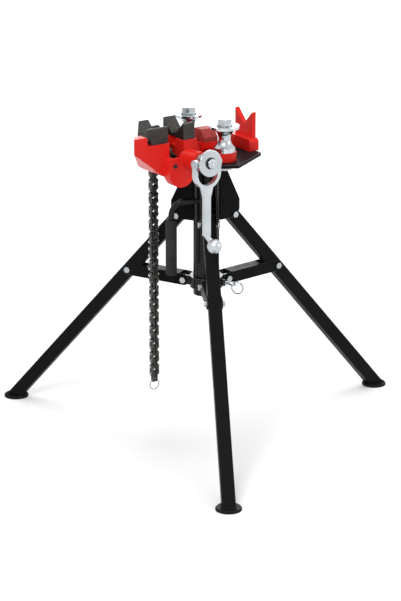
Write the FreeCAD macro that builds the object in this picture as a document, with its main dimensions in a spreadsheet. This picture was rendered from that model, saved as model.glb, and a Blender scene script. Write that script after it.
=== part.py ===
import FreeCAD, Part
import math
import os
import re

import Sketcher
from FreeCAD import Placement, Rotation, Vector

# Tripod pipe vise stand, in millimetres.  +Z is up and the floor is Z = 0.
# The stand is drawn round its mast, whose axis is local X = Y = 0: one leg
# points along +X, the others 120 degrees to either side.  The pipe lies along
# X in the vise, and -Y is the side of the crank.  Every sub-part is then moved
# by MAST, so that the origin is the middle of the whole stand on the floor.

X_AXIS = Vector(1, 0, 0)
Y_AXIS = Vector(0, 1, 0)
Z_AXIS = Vector(0, 0, 1)
FULL_TURN = 360
LEGS = {"right": 0, "left": 120, "front": 240}
HANGING_LINKS = 37
RUN_LINKS = 10

doc = FreeCAD.newDocument("tripod_pipe_vise_stand")

SIZES = {
    # mast and head plate
    "mast_diameter": 60, "mast_wall": 3, "mast_tail": 182, "head_height": 149,
    "plate_thickness": 8, "plate_flats": 216, "plate_cut": 75,
    # legs and their brackets
    "pivot_reach": 66, "pivot_rise": 511, "foot_reach": 505, "leg_width": 30,
    "leg_wall": 2, "leg_corner": 4, "leg_head": 18, "pad_diameter": 58, "pad_thickness": 6,
    "pad_bevel": 2, "bracket_thickness": 4, "bracket_gap": 0.5, "bracket_edge": 14,
    "bracket_toe": 7, "bracket_shoulder": 35, "bracket_tip": 4, "bracket_clear": 10,
    "bracket_corner": 8, "bolt_diameter": 8, "bolt_flats": 13, "bolt_head": 5.5,
    "hinge_gap": 0.3,
    # collar and struts
    "collar_lift": 30, "collar_outer": 76, "collar_height": 26, "collar_gap": 0.25,
    "lug_reach": 50, "lug_cheek": 5, "lug_depth": 22, "brace_length": 193,
    "strut_wall": 2.5, "strut_depth": 26, "strut_trim": 44,
    # pull pin
    "pin_bearing": 300, "pin_diameter": 8, "pin_draw": 0.4, "pin_stand": 22, "bush_diameter": 16,
    "bush_length": 9, "eye_radius": 8, "eye_thickness": 5, "eye_hole": 4.2, "eye_weld": 1,
    "pull_ring_radius": 14, "pull_ring_wire": 2.8, "pull_ring_coil": 1.2, "pull_ring_droop": 35,
    "pull_ring_seat": 0.3,
    # carrying handle
    "carry_lift": 52, "carry_reach": 48, "carry_rod": 13, "carry_drop": 166,
    "carry_run": 31, "carry_bend": 34, "grip_diameter": 26, "grip_length": 124, "grip_cap": 6,
    # vise casting: across the pipe, along it, and up from the head plate
    "cast_half": 43, "channel_half": 13, "vee_height": 55, "seat_height": 53, "lip_gap": 3,
    "lip_length": 36, "lip_height": 74, "nose_skew": 68, "chin_height": 40, "keel_back": 14,
    "keel_drop": 22,
    "cheek_gap": 3, "cheek_slope": 19, "channel_height": 36, "chain_plane": 112,
    "pocket_half": 19, "pocket_drop": 8, "near_wall": 9, "far_wall": 7, "throat_half": 9.7,
    "throat_height": 40, "horn_height": 64, "lobe_radius": 34, "lobe_shift": 2,
    "lobe_length": 20, "lobe_drop": 14, "lobe_height": 20, "lobe_corner": 8,
    "hub_radius": 31, "hub_sides": 8, "hub_height": 33,
    "hub_front": 25, "hub_back": 12, "spine_half": 15, "post_radius": 27, "post_height": 20,
    "rib_half": 19, "rib_height": 16,
    # jaws
    "jaw_height": 91, "jaw_inner": 6, "jaw_inset": 3, "jaw_gap": 2, "jaw_front_length": 54,
    "jaw_rear_length": 30, "jaw_teeth": 9, "jaw_tooth_depth": 1.2, "jaw_slant": 12,
    "jaw_bevel": 2, "jaw_land": 1,
    # pipe rest
    "rest_reach": 104, "rest_thickness": 11, "rest_half": 32, "rest_height": 90,
    "rest_foot_half": 44, "rest_foot_length": 26, "rest_foot_height": 28, "rest_bevel": 9,
    # bending rollers
    "roller_offset": 70, "roller_height": 80, "roller_flange": 66, "roller_base": 49,
    "roller_waist": 28, "roller_lip": 6, "roller_play": 0.2, "roller_gap": 0.3,
    "roller_bolt": 20, "roller_flats": 30, "roller_head": 13, "washer_diameter": 37,
    "washer_thickness": 3,
    # chain screw and crank
    "screw_shift": 20, "screw_out": 67, "screw_height": 21, "screw_tilt": 5,
    "screw_boss": 43, "screw_boss_end": 18, "hub_diameter": 36, "disc_diameter": 60,
    "disc_thickness": 5, "disc_offset": 11, "cap_diameter": 21, "cap_length": 8,
    "fork_inner": 27, "fork_arm": 8, "fork_width": 12, "fork_drop": 24, "stem_length": 117,
    "stem_width": 15, "cross_pin": 10, "ball_diameter": 33, "ball_drop": 17, "ball_out": 30,
    # chain
    "pitch": 15.875, "anchor_reach": 16, "anchor_height": 4, "anchor_grip": 6,
    "hook_inset": 1.5, "hang_gap": 0.5, "plate_half": 6.5, "link_thickness": 3,
    "outer_offset": 6, "inner_offset": 3.6, "link_pin": 6, "link_pin_half": 13, "anchor_pin": 8,
    "end_ring_radius": 12.3, "end_ring_wire": 3, "set_pin": 10, "set_pin_shift": 17,
    "set_pin_height": 3.5, "set_pin_depth": 8, "set_pin_stand": 1.5, "set_pin_slot": 1.8,
}

# Places that follow from the sizes above.
PLACES = {
    "plate_top": "pivot_rise + head_height",
    "plate_under": "plate_top - plate_thickness",
    "mast_foot": "pivot_rise - mast_tail",
    "collar_rise": "mast_foot + collar_lift",
    "bracket_reach": "pivot_reach + bracket_edge",
    "bracket_low": "pivot_rise - bracket_toe",
    "bracket_top": "plate_under - bracket_clear",
    "collar_face": "collar_outer / 2",
    "pin_outer": "collar_face + pin_stand",
    "bush_outer": "collar_face + bush_length",
    "carry_rise": "pivot_rise + carry_lift",
    "vee_rise": "plate_top + vee_height",
    "seat_rise": "plate_top + seat_height",
    "hub_rise": "plate_top + hub_height",
    "jaw_outer": "cast_half - jaw_inset",
    "jaw_top": "plate_top + jaw_height",
    "jaw_front_end": "chain_plane + pocket_half + jaw_gap",
    "jaw_front_start": "jaw_front_end + jaw_front_length",
    "jaw_rear_start": "chain_plane - pocket_half - jaw_gap",
    "jaw_rear_end": "jaw_rear_start - jaw_rear_length",
    "lip_end": "jaw_front_start + lip_gap",
    "nose_reach": "lip_end + lip_length",
    "cheek_end": "jaw_rear_end - cheek_gap",
    "lobe_face": "cast_half + lobe_length",
    "lobe_top": "plate_top + lobe_height",
    "rest_back": "rest_reach + rest_thickness",
    "post_top": "plate_top + post_height",
    "roller_bottom": "post_top + roller_gap",
    "roller_top": "plate_top + roller_height",
    "roller_middle": "(roller_bottom + roller_top) / 2",
    "roller_bore": "roller_bolt + 2 * roller_play",
    "roller_groove": "(roller_top - roller_bottom) / 2 - roller_lip",
}

sheet = doc.addObject("Spreadsheet::Sheet", "sizes")
for row, (size_name, size) in enumerate(SIZES.items(), 1):
    sheet.set(f"A{row}", size_name)
    sheet.set(f"B{row}", str(size))
    sheet.setAlias(f"B{row}", size_name)
doc.recompute()


class Sizes:
    """Reads a size from the sheet by its alias, or a place that follows from sizes."""

    def __getattr__(self, name):
        return value(PLACES[name]) if name in PLACES else float(sheet.get(name))


z = Sizes()
nodes = {}


# ---------------------------------------------------------------- helpers

def spelled(text):
    """Spells out every place in an expression, down to the sheet's aliases."""
    def spell(match):
        word = match.group()
        return f"({spelled(PLACES[word])})" if word in PLACES else word
    return re.sub(r"[a-z]\w*", spell, text)


def bound(text):
    """Names the sheet in front of each alias in an expression."""
    def name_sheet(match):
        word = match.group()
        return "sizes." + word if word in SIZES else word
    return re.sub(r"[a-z]\w*", name_sheet, spelled(text))


def value(text):
    """The present value of an expression."""
    return float(sheet.evalExpression(spelled(text)))


def bind(item, **properties):
    for name, text in properties.items():
        item.setExpression(name, bound(text))
    return item


def turned_to(axis, base=Vector()):
    """A placement at base whose Z runs along axis."""
    return Placement(base, Rotation(Z_AXIS, axis))


def rod(name, diameter, length, base, axis):
    """A cylinder bound to the sheet, from base along axis."""
    item = bind(doc.addObject("Part::Cylinder", name), Radius=f"({diameter}) / 2", Height=length)
    item.Placement = turned_to(axis, base)
    return item


def block(name, length, width, height, base, turn=Rotation()):
    item = bind(doc.addObject("Part::Box", name), Length=length, Width=width, Height=height)
    item.Placement = Placement(base, turn)
    return item


def hexagon(name, flats, height, base, axis):
    """A hexagonal head or nut, bound by its size across flats."""
    item = bind(
        doc.addObject("Part::Prism", name),
        Circumradius=f"({flats}) / sqrt(3)", Height=height)
    item.Polygon = 6
    item.Placement = turned_to(axis, base)
    return item


def join(name, shapes):
    item = doc.addObject("Part::MultiFuse", name)
    item.Shapes = shapes
    return item


def subtract(name, base, tool):
    item = doc.addObject("Part::Cut", name)
    item.Base = base
    item.Tool = tool
    return item


def group(name, items):
    """Several separate solids kept as one sub-part."""
    item = doc.addObject("Part::Compound", name)
    item.Links = items
    return item


def feature(name, shape):
    item = doc.addObject("Part::Feature", name)
    item.Shape = shape
    return item


def about_mast(bearing):
    return Placement(Vector(), Rotation(Z_AXIS, bearing))


def node(label, item, bearing=0):
    """Names a finished sub-part and moves it from the mast to the stand's frame."""
    item.Label = label
    mast = Placement(Vector(-z.foot_reach / 4, 0, 0), Rotation())
    item.Placement = mast.multiply(about_mast(bearing)).multiply(item.Placement)
    nodes[label] = item


def polygon(points):
    return Part.Face(Part.makePolygon(points + points[:1]))


def origin_plane(body, role):
    for plane in body.Origin.OriginFeatures:
        if plane.Role == role:
            return plane
    raise ValueError(role)


def sketch_on(body, role, points):
    """A sketch on a body's own plane: an outline with every corner dimensioned."""
    sketch = body.newObject("Sketcher::SketchObject", body.Name + "_outline")
    sketch.AttachmentSupport = [(origin_plane(body, role), "")]
    sketch.MapMode = "FlatFace"
    count = len(points)
    spots = [Vector(value(across), value(up), 0) for across, up in points]
    for index, spot in enumerate(spots):
        sketch.addGeometry(Part.LineSegment(spot, spots[(index + 1) % count]), False)
    for index in range(count):
        after = (index + 1) % count
        sketch.addConstraint(Sketcher.Constraint("Coincident", index, 2, after, 1))
    for index, (across, up) in enumerate(points):
        for kind, axis, text in (("DistanceX", -2, across), ("DistanceY", -1, up)):
            if text == "0":
                sketch.addConstraint(Sketcher.Constraint("PointOnObject", index, 1, axis))
                continue
            number = sketch.addConstraint(
                Sketcher.Constraint(kind, -1, 1, index, 1, value(text)))
            sketch.setExpression(f"Constraints[{number}]", bound(text))
    return sketch


def turned_body(name, points):
    """A body revolved about Z from an outline of (radius, height) corners."""
    body = doc.addObject("PartDesign::Body", name)
    sketch = sketch_on(body, "XZ_Plane", points)
    turn = body.newObject("PartDesign::Revolution", name + "_turn")
    turn.Profile = sketch
    turn.ReferenceAxis = (sketch, ["V_Axis"])
    turn.Angle = FULL_TURN
    return body


def padded_body(name, points, thickness):
    """A body padded up from an outline on the XY plane."""
    body = doc.addObject("PartDesign::Body", name)
    sketch = sketch_on(body, "XY_Plane", points)
    pad = body.newObject("PartDesign::Pad", name + "_pad")
    pad.Profile = sketch
    pad.setExpression("Length", bound(thickness))
    return body


def round_edges(shape, radius, wanted):
    """Fillets the straight edges that wanted picks by their two end points."""
    picked = []
    for line in shape.Edges:
        if len(line.Vertexes) == 2 and wanted(line.Vertexes[0].Point, line.Vertexes[1].Point):
            picked.append(line)
    return shape.makeFillet(radius, picked)


# ---------------------------------------------------------------- mast and head plate

def mast():
    tube = turned_body("mast_body", [
        ("mast_diameter / 2 - mast_wall", "mast_foot"),
        ("mast_diameter / 2", "mast_foot"),
        ("mast_diameter / 2", "plate_under"),
        ("mast_diameter / 2 - mast_wall", "plate_under")])
    direction = Rotation(Z_AXIS, z.pin_bearing).multVec(X_AXIS)
    lock_hole = rod("mast_lock_hole", "pin_diameter + 2 * hinge_gap", "mast_diameter",
                    Vector(0, 0, z.collar_rise), direction)
    node("mast_tube", subtract("mast_drilled", tube, lock_hole))


def roller_places():
    return {"near": Vector(0, -z.roller_offset, 0), "far": Vector(0, z.roller_offset, 0)}


def head_bolt_places():
    """Two bolts under the casting and two under the pipe rest."""
    rest_x = z.rest_back - z.rest_foot_length / 2
    return [
        Vector(-z.cheek_end + z.bolt_flats, -z.rib_half, 0),
        Vector(-z.cheek_end + z.bolt_flats, z.rib_half, 0),
        Vector(rest_x, -z.rest_half, 0),
        Vector(rest_x, z.rest_half, 0)]


def head_plate():
    """A hexagonal plate with one corner pair cut straight for the casting."""
    reach = "plate_flats / 2"
    corner = "plate_flats / 2 / sqrt(3)"
    peak = "plate_flats / sqrt(3)"
    cut_up = "plate_flats / sqrt(3) - plate_cut / sqrt(3)"
    plate = padded_body("plate_body", [
        (reach, f"-{corner}"), (reach, corner), ("0", peak), ("-plate_cut", cut_up),
        ("-plate_cut", f"-({cut_up})"), ("0", f"-{peak}")], "plate_thickness")
    plate.Placement = Placement(Vector(0, 0, z.plate_under), Rotation())
    holes = []
    for side, place in roller_places().items():
        base = place + Vector(0, 0, z.plate_under)
        holes.append(rod(f"plate_hole_{side}", "roller_bolt", "plate_thickness", base, Z_AXIS))
    for index, place in enumerate(head_bolt_places()):
        base = place + Vector(0, 0, z.plate_under)
        holes.append(rod(f"plate_bolt_hole_{index}", "bolt_diameter", "plate_thickness", base, Z_AXIS))
    node("head_plate", subtract("plate_drilled", plate, join("plate_holes", holes)))


def head_bolts():
    """Hexagon bolts up through the head plate into blind holes."""
    bolts = []
    below = z.plate_under
    for index, place in enumerate(head_bolt_places()):
        head = hexagon(f"head_bolt_cap_{index}", "bolt_flats", "bolt_head",
                       place + Vector(0, 0, below - z.bolt_head), Z_AXIS)
        shank = rod(f"head_bolt_shank_{index}", "bolt_diameter", "plate_thickness + rib_height / 2",
                    place + Vector(0, 0, below), Z_AXIS)
        bolts.append(join(f"head_bolt_{index}", [head, shank]))
    node("head_bolts", group("head_bolt_set", bolts))


# ---------------------------------------------------------------- leg brackets and legs

def in_plane(radius, rise):
    """A point of the vertical plane through the mast and a leg along +X."""
    return Vector(radius, 0, rise)


def leg_line():
    """The leg's pivot, its foot and the unit vector between them."""
    top = in_plane(z.pivot_reach, z.pivot_rise)
    foot = in_plane(z.foot_reach, z.pad_thickness)
    return top, foot, (foot - top).normalize()


def bracket_pair(bearing_name, bearing):
    """Two cheek plates welded to the mast, one each side of the leg's top."""
    edge = z.mast_diameter / 2
    inner = z.leg_width / 2 + z.bracket_gap
    outline = polygon([
        in_plane(0, z.bracket_low),
        in_plane(z.bracket_reach - 2 * z.bracket_corner, z.bracket_low),
        in_plane(z.bracket_reach, z.bracket_low + 2 * z.bracket_corner),
        in_plane(z.bracket_reach, z.pivot_rise + z.bracket_shoulder),
        in_plane(edge + z.bracket_tip, z.bracket_top),
        in_plane(0, z.bracket_top)])
    plates = []
    for side in (-1, 1):
        plate = outline.extrude(Vector(0, side * z.bracket_thickness, 0))
        plate.translate(Vector(0, side * inner, 0))
        plate = round_edges(
            plate, z.bracket_corner,
            lambda a, b: abs(a.z - b.z) + abs(a.x - b.x) < z.bracket_gap and a.x > edge + z.bracket_corner)
        mast_space = Part.makeCylinder(edge, z.plate_top, Vector())
        pivot = in_plane(z.pivot_reach, z.pivot_rise)
        bolt = Part.makeCylinder(z.bolt_diameter / 2, z.foot_reach, pivot - Y_AXIS * z.foot_reach / 2, Y_AXIS)
        plate = plate.cut(mast_space)
        plate = plate.cut(bolt)
        plates.append(plate)
    if bearing_name == "front":
        plates[0] = plates[0].cut(carry_hole())
    pair = feature(f"bracket_pair_{bearing_name}", Part.makeCompound(plates))
    node(f"bracket_{bearing_name}", pair, bearing)


def carry_hole():
    """The hole that holds the carrying handle's threaded end, on the front bracket's left cheek."""
    base = Vector(z.carry_reach, -z.leg_width / 2, z.carry_rise)
    return Part.makeCylinder(z.bolt_diameter / 2, z.leg_width, base, -Y_AXIS)


def pivot_bolts():
    """One hexagon bolt with its nut through each bracket pair."""
    bolts = []
    outer = z.leg_width / 2 + z.bracket_gap + z.bracket_thickness
    for name, bearing in LEGS.items():
        pivot = in_plane(z.pivot_reach, z.pivot_rise)
        head = hexagon(f"pivot_head_{name}", "bolt_flats", "bolt_head", pivot - Y_AXIS * outer, -Y_AXIS)
        nut = hexagon(f"pivot_nut_{name}", "bolt_flats", "bolt_head", pivot + Y_AXIS * outer, Y_AXIS)
        shank = rod(f"pivot_shank_{name}", "bolt_diameter",
                    "leg_width + 2 * (bracket_gap + bracket_thickness)", pivot - Y_AXIS * outer, Y_AXIS)
        bolt = join(f"pivot_bolt_{name}", [head, nut, shank])
        bolt.Placement = about_mast(bearing)
        bolts.append(bolt)
    node("pivot_bolts", group("pivot_bolt_set", bolts))


def rounded_bar(width, corner, length):
    """A square bar with rounded edges, along Z from the origin."""
    half = width / 2
    bar = Part.makeBox(width, width, length, Vector(-half, -half, 0))
    upright = [line for line in bar.Edges if abs(line.Vertexes[0].Z - line.Vertexes[1].Z) > half]
    return bar.makeFillet(corner, upright)


def leg(name, bearing):
    """Square tube from above its pivot down to the foot pad, cut level with the pad."""
    top, foot, along = leg_line()
    span = (foot - top).Length
    length = span + z.leg_head + z.leg_width
    outside = rounded_bar(z.leg_width, z.leg_corner, length)
    inside = rounded_bar(z.leg_width - 2 * z.leg_wall, z.leg_corner - z.leg_wall, length)
    tube = outside.cut(inside)
    tube.Placement = Placement(top - along * z.leg_head, Rotation(Z_AXIS, along))
    reach = z.foot_reach
    floor = Part.makeBox(reach * 2, reach, reach, Vector(0, -reach / 2, z.pad_thickness - reach))
    tube = tube.cut(floor)
    hole = Part.makeCylinder(
        z.bolt_diameter / 2 + z.hinge_gap, z.leg_width * 2, top - Y_AXIS * z.leg_width, Y_AXIS)
    tube = tube.cut(hole)
    node(f"leg_{name}", feature(f"leg_tube_{name}", tube), bearing)


def foot_pad(name, bearing):
    """A round steel pad with a bevelled rim, welded under the leg."""
    pad = turned_body(f"pad_body_{name}", [
        ("0", "0"), ("pad_diameter / 2", "0"), ("pad_diameter / 2", "pad_thickness - pad_bevel"),
        ("pad_diameter / 2 - pad_bevel", "pad_thickness"), ("0", "pad_thickness")])
    pad.Placement = Placement(Vector(z.foot_reach, 0, 0), Rotation())
    node(f"foot_{name}", pad, bearing)


# ---------------------------------------------------------------- collar and struts

def strut_line():
    """The strut's two hinge points, on the collar and on the leg, and its direction."""
    top, _, along = leg_line()
    inner = in_plane(z.lug_reach, z.collar_rise)
    outer = top + along * z.brace_length
    return inner, outer, (outer - inner).normalize()


def collar():
    """A short sleeve that slides on the mast, with a forked lug for each strut."""
    low = z.collar_rise - z.collar_height / 2
    ring = Part.makeCylinder(z.collar_outer / 2, z.collar_height, Vector(0, 0, low))
    lugs = []
    half = z.leg_width / 2
    for bearing in LEGS.values():
        for side in (-1, 1):
            cheek = Part.makeBox(
                z.lug_reach, z.lug_cheek, z.lug_depth,
                Vector(0, min(side * half, side * (half - z.lug_cheek)), z.collar_rise - z.lug_depth / 2))
            tip = Part.makeCylinder(
                z.lug_depth / 2, z.lug_cheek,
                Vector(z.lug_reach, min(side * half, side * (half - z.lug_cheek)), z.collar_rise), Y_AXIS)
            hole = Part.makeCylinder(
                z.bolt_diameter / 2, z.leg_width * 2, Vector(z.lug_reach, -z.leg_width, z.collar_rise),
                Y_AXIS)
            cheek = cheek.fuse(tip).cut(hole)
            cheek.rotate(Vector(), Z_AXIS, bearing)
            lugs.append(cheek)
    whole = ring.multiFuse(lugs).removeSplitter()
    bore = Part.makeCylinder(z.mast_diameter / 2 + z.collar_gap, z.plate_top, Vector())
    direction = Rotation(Z_AXIS, z.pin_bearing).multVec(X_AXIS)
    pin_way = Part.makeCylinder(
        z.pin_diameter / 2 + z.hinge_gap, z.collar_outer, Vector(0, 0, z.collar_rise), direction)
    node("collar", feature("collar_sleeve", whole.cut(bore).cut(pin_way)))


def collar_bolts():
    bolts = []
    outer = z.leg_width / 2 + z.bracket_gap + z.strut_wall + z.hinge_gap
    for name, bearing in LEGS.items():
        pivot = in_plane(z.lug_reach, z.collar_rise)
        head = hexagon(f"collar_head_{name}", "bolt_flats", "bolt_head", pivot - Y_AXIS * outer, -Y_AXIS)
        nut = hexagon(f"collar_nut_{name}", "bolt_flats", "bolt_head", pivot + Y_AXIS * outer, Y_AXIS)
        shank = rod(f"collar_shank_{name}", "bolt_diameter",
                    "leg_width + 2 * (bracket_gap + strut_wall + hinge_gap)", pivot - Y_AXIS * outer, Y_AXIS)
        bolt = join(f"collar_bolt_{name}", [head, nut, shank])
        bolt.Placement = about_mast(bearing)
        bolts.append(bolt)
    node("collar_bolts", group("collar_bolt_set", bolts))


def strut(name, bearing):
    """A channel, open below, whose round-ended flanges straddle the collar's lug and the leg."""
    inner, outer, along = strut_line()
    span = (outer - inner).Length
    inside = z.leg_width + 2 * z.bracket_gap
    outside = inside + 2 * z.strut_wall
    half = z.strut_depth / 2
    shell = Part.makeBox(span + 2 * half, outside, z.strut_depth, Vector(-half, -outside / 2, -half))
    shell = round_edges(
        shell, z.strut_wall, lambda a, b: min(a.z, b.z) > half - z.bracket_gap and abs(a.x - b.x) > half)
    channel = Part.makeBox(
        span + 4 * half, inside, z.strut_depth, Vector(-2 * half, -inside / 2, -half - z.strut_wall))
    shell = shell.cut(channel)
    for low, high in ((-2 * half, half), (span - z.strut_trim, span + 2 * half)):
        shell = shell.cut(Part.makeBox(
            high - low, inside, z.strut_depth * 2, Vector(low, -inside / 2, -half)))
    side_view = Part.makeBox(span, outside, z.strut_depth, Vector(0, -outside / 2, -half))
    for spot in (0, span):
        side_view = side_view.fuse(Part.makeCylinder(half, outside, Vector(spot, -outside / 2, 0), Y_AXIS))
    shell = shell.common(side_view)
    for spot, gap in ((0, z.hinge_gap), (span, 0)):
        shell = shell.cut(Part.makeCylinder(
            z.bolt_diameter / 2 + gap, outside * 2, Vector(spot, -outside, 0), Y_AXIS))
    shell.Placement = Placement(inner, Rotation(X_AXIS, along))
    node(f"strut_{name}", feature(f"strut_channel_{name}", shell), bearing)


def strut_studs(name, bearing):
    """Short studs that join the strut's flanges to the leg's sides."""
    _, outer, _ = strut_line()
    flange = z.leg_width / 2 + z.bracket_gap
    studs = []
    for side, title in ((-1, "a"), (1, "b")):
        face = outer + Y_AXIS * side * (flange + z.strut_wall)
        head = hexagon(f"stud_head_{name}_{title}", "bolt_flats", "bolt_head", face, Y_AXIS * side)
        shank = rod(f"stud_shank_{name}_{title}", "bolt_diameter", "strut_wall",
                    face, Y_AXIS * -side)
        studs.append(join(f"stud_{name}_{title}", [head, shank]))
    node(f"strut_studs_{name}", group(f"stud_set_{name}", studs), bearing)


# ---------------------------------------------------------------- pull pin

def pull_pin():
    """A pin through the collar, drawn clear of the mast, with a flat eye for its split ring."""
    centre = Vector(0, 0, z.collar_rise)
    tip = z.mast_diameter / 2 + z.pin_draw
    shank = Part.makeCylinder(z.pin_diameter / 2, z.pin_outer - tip, centre + X_AXIS * tip, X_AXIS)
    low = z.collar_rise - z.eye_thickness / 2
    eye_at = Vector(z.pin_outer + z.eye_radius - z.eye_weld, 0, low)
    eye = Part.makeCylinder(z.eye_radius, z.eye_thickness, eye_at)
    hole = Part.makeCylinder(z.eye_hole, z.eye_thickness, eye_at)
    node("pull_pin", feature("pull_pin_turned", shank.fuse(eye).cut(hole)), z.pin_bearing)

    start = z.mast_diameter / 2 + z.mast_wall
    bush = Part.makeCylinder(z.bush_diameter / 2, z.bush_outer - start, centre + X_AXIS * start, X_AXIS)
    bush = bush.cut(Part.makeCylinder(z.collar_outer / 2, z.plate_top, Vector()))
    bush = bush.cut(Part.makeCylinder(z.pin_diameter / 2 + z.hinge_gap, z.pin_outer, centre, X_AXIS))
    node("pin_bush", feature("pin_bush_turned", bush), z.pin_bearing)

    droop = Rotation(Y_AXIS, z.pull_ring_droop)
    hole_centre = eye_at + Z_AXIS * z.eye_thickness / 2
    hang = z.pull_ring_radius - z.pull_ring_seat
    middle = hole_centre + droop.multVec(X_AXIS) * hang
    coils = []
    for side in (-1, 1):
        spot = middle + Y_AXIS * side * z.pull_ring_coil
        coils.append(Part.makeTorus(z.pull_ring_radius, z.pull_ring_wire / 2, spot, Y_AXIS))
    node("pull_ring", feature("pull_ring_coils", coils[0].fuse(coils[1])), z.pin_bearing)


# ---------------------------------------------------------------- carrying handle

def carrying_handle():
    """A bent rod out of the front bracket with a rubber grip on its hanging end."""
    face = z.leg_width / 2 + z.bracket_gap + z.bracket_thickness
    start = Vector(z.carry_reach, -face, z.carry_rise)
    corner = start - Y_AXIS * z.carry_run
    centre = corner + Vector(0, 0, -z.carry_bend)
    diagonal = math.sqrt(0.5) * z.carry_bend
    bend_middle = centre + Vector(0, -diagonal, diagonal)
    bend_end = centre + Vector(0, -z.carry_bend, 0)
    low = Vector(bend_end.x, bend_end.y, z.carry_rise - z.carry_drop)
    path = Part.Wire([
        Part.makeLine(start, corner),
        Part.Arc(corner, bend_middle, bend_end).toShape(),
        Part.makeLine(bend_end, low)])
    circle = Part.Wire([Part.makeCircle(z.carry_rod / 2, start, -Y_AXIS)])
    bar = path.makePipeShell([circle], True, False)
    spigot = Part.makeCylinder(z.bolt_diameter / 2, z.bracket_thickness, start, Y_AXIS)
    bearing = LEGS["front"]
    node("carry_rod", feature("carry_rod_bent", bar.fuse(spigot)), bearing)

    cap = z.grip_cap / 2
    top = low.z + z.grip_length
    sleeve = Part.makeCylinder(z.grip_diameter / 2, z.grip_length + 2 * cap, low - Z_AXIS * 2 * cap)
    rims = [line for line in sleeve.Edges if len(line.Vertexes) == 1]
    sleeve = sleeve.makeFillet(cap, rims)
    sleeve = sleeve.cut(Part.makeCylinder(z.carry_rod / 2, top, low))
    node("carry_grip", feature("carry_grip_sleeve", sleeve), bearing)

    inside = Vector(z.carry_reach, -(z.leg_width / 2 + z.bracket_gap), z.carry_rise)
    node("carry_nut", hexagon("carry_nut_hex", "bolt_flats", "bolt_head", inside, Y_AXIS), bearing)


# ---------------------------------------------------------------- vise casting

def vee_notch(start, end):
    """The right-angled trough that a pipe lies in, as a prism along X."""
    reach = z.jaw_outer * 2
    face = polygon([
        Vector(start, 0, z.vee_rise), Vector(start, reach, z.vee_rise + reach),
        Vector(start, -reach, z.vee_rise + reach)])
    return face.extrude(Vector(end - start, 0, 0))


def screw_frame():
    """The cross pin's centre and the chain screw's outward axis."""
    tilt = math.radians(z.screw_tilt)
    axis = Vector(0, -math.cos(tilt), math.sin(tilt))
    pivot = Vector(z.screw_shift - z.chain_plane, -z.lobe_face - z.screw_out, z.plate_top + z.screw_height)
    return pivot, axis


def lobe_solids():
    """The round housing on the casting's near side, with its shoulder and screw boss."""
    length = z.lobe_length + z.leg_corner
    centre = Vector(z.lobe_shift - z.chain_plane, -z.lobe_face, z.plate_top - z.lobe_drop)
    drum = Part.makeCylinder(z.lobe_radius, length, centre, Y_AXIS)
    shoulder = Part.makeBox(
        2 * z.lobe_radius, length, z.lobe_top - centre.z, centre - X_AXIS * z.lobe_radius)
    shoulder = round_edges(
        shoulder, z.lobe_corner,
        lambda a, b: min(a.z, b.z) > z.plate_top and abs(a.y - b.y) > z.leg_corner)
    pivot, axis = screw_frame()
    boss_end = pivot - axis * z.screw_boss_end
    boss = Part.makeCylinder(
        z.screw_boss / 2, z.screw_out + z.lobe_length - z.screw_boss_end, boss_end, -axis)
    return [drum, shoulder, boss]


def hub():
    """The eight-sided boss between the rollers."""
    corners = []
    for index in range(int(z.hub_sides)):
        turn = math.radians(FULL_TURN * (index + 0.5) / z.hub_sides)
        corners.append(Vector(
            -z.hub_front, z.hub_radius * math.cos(turn), z.hub_rise + z.hub_radius * math.sin(turn)))
    boss = polygon(corners).extrude(X_AXIS * (z.hub_front + z.hub_back))
    return round_edges(boss, z.leg_corner / 2, lambda a, b: abs(a.x - b.x) < z.bracket_gap)


def nose_wedge(inset):
    """What the skewed front of the nose leaves away, seen from above, set back by inset."""
    near = Vector(inset - z.nose_reach, -z.cast_half, 0)
    run = Vector(z.nose_skew, 2 * z.cast_half, 0)
    ahead = X_AXIS * -z.nose_reach
    behind, beyond = near - run, near + run * 2
    return polygon([behind, beyond, beyond + ahead, behind + ahead]).extrude(Z_AXIS * z.jaw_top)


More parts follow.
